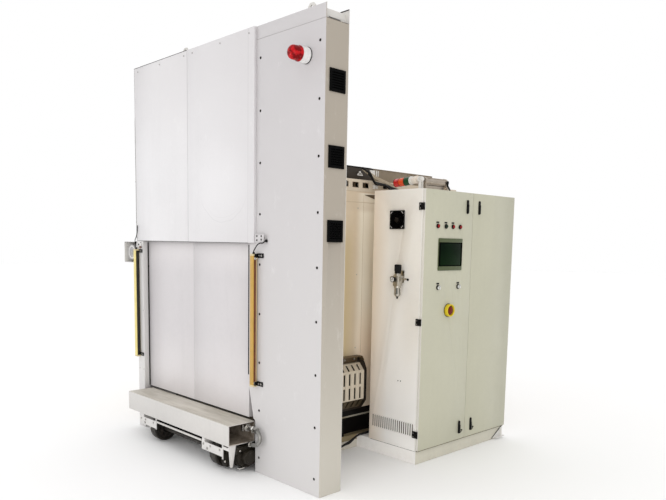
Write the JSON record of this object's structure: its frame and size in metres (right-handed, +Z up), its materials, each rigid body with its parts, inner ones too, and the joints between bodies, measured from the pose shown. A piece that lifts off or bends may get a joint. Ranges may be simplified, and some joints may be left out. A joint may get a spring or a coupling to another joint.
{
  "type": "trolley furnace",
  "caption": "High-temperature trolley furnace: fibre-lined chamber, lifting door in a tall portal, rolling hearth on wheels and a control cabinet beside it.",
  "frame": {"origin": "centre of the bounding box's bottom face, on the floor", "axes": "+Z up, +X to the right seen from the front, +Y from the front to the back; the trolley rolls out towards -Y"},
  "size_m": [2.437, 2.242, 2.884],
  "materials": {
    "white_paint": "satin",
    "cream_paint": "satin",
    "cabinet_paint": "satin",
    "grey_green_paint": "satin",
    "taupe_sheet": "satin",
    "trolley_paint": "satin",
    "bare_steel": "satin",
    "chain_steel": "satin",
    "cast_weight": "matte",
    "motor_paint": "satin",
    "dark_motor": "satin",
    "wheel_iron": "satin",
    "fibre": "matte",
    "hearth_brick": "matte",
    "element_alloy": "matte",
    "guard_sheet": "satin",
    "black_plastic": "satin",
    "beacon_white": "gloss",
    "beacon_red": "gloss",
    "curtain_yellow": "satin",
    "cable_black": "satin",
    "conduit_grey": "satin",
    "sounder_grey": "satin",
    "galvanised": "satin",
    "frl_metal": "satin",
    "panel_bezel": "satin",
    "button_red": "gloss",
    "button_green": "gloss",
    "chrome_knob": "polished",
    "estop_yellow": "satin",
    "estop_red": "satin",
    "signal_lens": "gloss",
    "white_plastic": "gloss",
    "cylinder_alloy": "satin"
  },
  "bodies": {
    "root": {"gantry_frame": "white_paint", "column_casing": "white_paint", "left_post": "white_paint", "upper_cover_left": "white_paint", "upper_cover_right": "white_paint", "side_vent_lower": "black_plastic", "side_vent_middle": "black_plastic", "side_vent_upper": "black_plastic", "chain_left": "chain_steel", "chain_right": "chain_steel", "hoist_gearmotor": "motor_paint", "beacon_base": "beacon_white", "beacon_dome": "beacon_red", "light_curtain_right": "curtain_yellow", "light_curtain_left": "curtain_yellow", "curtain_cable": "cable_black", "sounder_bracket": "white_paint", "sounder": "sounder_grey", "furnace_shell": "cream_paint", "furnace_lining": "fibre", "heating_element": "element_alloy", "roof_hood": "taupe_sheet", "base_frame": "cabinet_paint", "terminal_guard": "guard_sheet", "cabinet_shell": "cabinet_paint", "mounting_plate": "galvanised", "cabinet_fan": "black_plastic", "frl_body": "frl_metal", "stack_light_foot": "white_plastic", "air_cylinder": "cylinder_alloy"},
    "lift_door": {"door_skin": "white_paint", "door_frame": "bare_steel", "door_insulation": "fibre"},
    "hoist_shaft_body": {"hoist_shaft": "bare_steel"},
    "counterweight_body": {"counterweight": "cast_weight"},
    "trolley": {"trolley_frame": "trolley_paint", "bumper_beam": "trolley_paint", "hearth_slab": "hearth_brick", "trolley_gearmotor": "dark_motor", "conduit_bend": "conduit_grey"},
    "front_wheels": {"wheelset_front": "wheel_iron"},
    "rear_wheels": {"wheelset_rear": "wheel_iron"},
    "door_left": {"cabinet_door_left": "grey_green_paint", "hmi_panel": "panel_bezel", "estop_collar": "estop_yellow"},
    "door_right": {"cabinet_door_right": "grey_green_paint"},
    "upper_left_handle": {"handle_upper_left": "black_plastic"},
    "upper_right_handle": {"handle_upper_right": "black_plastic"},
    "lower_left_handle": {"handle_lower_left": "black_plastic"},
    "lower_right_handle": {"handle_lower_right": "black_plastic"},
    "button_1": {"pushbutton_1": "button_red"},
    "button_2": {"pushbutton_2": "button_green"},
    "button_3": {"pushbutton_3": "button_red"},
    "button_4": {"pushbutton_4": "button_red"},
    "left_selector": {"selector_left": "chrome_knob"},
    "right_selector": {"selector_right": "chrome_knob"},
    "emergency_stop": {"estop_button": "estop_red"},
    "pressure_knob": {"frl_knob": "black_plastic"},
    "fan_rotor": {"cabinet_fan_rotor": "black_plastic"},
    "signal_tower": {"stack_light": "signal_lens"}
  },
  "joints": [
    {"name": "door_lift", "type": "slide", "parent": "root", "child": "lift_door", "axis": [0, 0, 1], "range_m": [0, 1.08]},
    {"name": "hoist_spin", "type": "hinge", "parent": "root", "child": "hoist_shaft_body", "pos_m": [0.0135, -0.844, 2.76], "axis": [1, 0, 0], "range_deg": [-1245, 5]},
    {"name": "counterweight_travel", "type": "slide", "parent": "root", "child": "counterweight_body", "axis": [0, 0, 1], "range_m": [-1.085, 0.005]},
    {"name": "trolley_travel", "type": "slide", "parent": "root", "child": "trolley", "axis": [0, -1, 0], "range_m": [0, 1.6]},
    {"name": "front_wheel_spin", "type": "hinge", "parent": "trolley", "child": "front_wheels", "pos_m": [0.0135, -1.014, 0.0953], "axis": [1, 0, 0], "range_deg": [-5, 975]},
    {"name": "rear_wheel_spin", "type": "hinge", "parent": "trolley", "child": "rear_wheels", "pos_m": [0.0135, 0.566, 0.0953], "axis": [1, 0, 0], "range_deg": [-5, 975]},
    {"name": "door_left_hinge", "type": "hinge", "parent": "root", "child": "door_left", "pos_m": [1.1685, -0.023, 1], "axis": [0, 0, 1], "range_deg": [-110, 0]},
    {"name": "door_right_hinge", "type": "hinge", "parent": "root", "child": "door_right", "pos_m": [1.1685, 1.081, 1], "axis": [0, 0, 1], "range_deg": [0, 110]},
    {"name": "upper_left_handle_turn", "type": "hinge", "parent": "door_left", "child": "upper_left_handle", "pos_m": [1.1915, 0.457, 1.834], "axis": [1, 0, 0], "range_deg": [-90, 0]},
    {"name": "upper_right_handle_turn", "type": "hinge", "parent": "door_right", "child": "upper_right_handle", "pos_m": [1.1915, 0.601, 1.834], "axis": [1, 0, 0], "range_deg": [0, 90]},
    {"name": "lower_left_handle_turn", "type": "hinge", "parent": "door_left", "child": "lower_left_handle", "pos_m": [1.1915, 0.457, 0.228], "axis": [1, 0, 0], "range_deg": [-90, 0]},
    {"name": "lower_right_handle_turn", "type": "hinge", "parent": "door_right", "child": "lower_right_handle", "pos_m": [1.1915, 0.601, 0.228], "axis": [1, 0, 0], "range_deg": [0, 90]},
    {"name": "button_1_press", "type": "slide", "parent": "door_left", "child": "button_1", "axis": [-1, 0, 0], "range_m": [0, 0.004], "stiffness_N_per_m": 400},
    {"name": "button_2_press", "type": "slide", "parent": "door_left", "child": "button_2", "axis": [-1, 0, 0], "range_m": [0, 0.004], "stiffness_N_per_m": 400},
    {"name": "button_3_press", "type": "slide", "parent": "door_left", "child": "button_3", "axis": [-1, 0, 0], "range_m": [0, 0.004], "stiffness_N_per_m": 400},
    {"name": "button_4_press", "type": "slide", "parent": "door_left", "child": "button_4", "axis": [-1, 0, 0], "range_m": [0, 0.004], "stiffness_N_per_m": 400},
    {"name": "left_selector_turn", "type": "hinge", "parent": "door_left", "child": "left_selector", "pos_m": [1.1905, 0.146, 1.235], "axis": [1, 0, 0], "range_deg": [-45, 45]},
    {"name": "right_selector_turn", "type": "hinge", "parent": "door_left", "child": "right_selector", "pos_m": [1.1905, 0.378, 1.235], "axis": [1, 0, 0], "range_deg": [-45, 45]},
    {"name": "emergency_stop_press", "type": "slide", "parent": "door_left", "child": "emergency_stop", "axis": [-1, 0, 0], "range_m": [0, 0.005], "stiffness_N_per_m": 800},
    {"name": "pressure_knob_turn", "type": "hinge", "parent": "root", "child": "pressure_knob", "pos_m": [1.0045, -0.062, 1.36], "axis": [0, 0, 1], "range_deg": [-540, 540]},
    {"name": "fan_spin", "type": "hinge", "parent": "root", "child": "fan_rotor", "pos_m": [0.9505, 0, 1.6935], "axis": [0, 1, 0], "continuous": true},
    {"name": "signal_tower_fold", "type": "hinge", "parent": "root", "child": "signal_tower", "pos_m": [1.0615, 0.086, 1.972], "axis": [0, 1, 0], "range_deg": [0, 94.3]}
  ],
  "couplings": [
    {"joint": "hoist_spin", "follows": "door_lift", "rad_per_m": -20},
    {"joint": "counterweight_travel", "follows": "door_lift", "ratio": -1},
    {"joint": "front_wheel_spin", "follows": "trolley_travel", "rad_per_m": 10.526},
    {"joint": "rear_wheel_spin", "follows": "trolley_travel", "rad_per_m": 10.526}
  ]
}
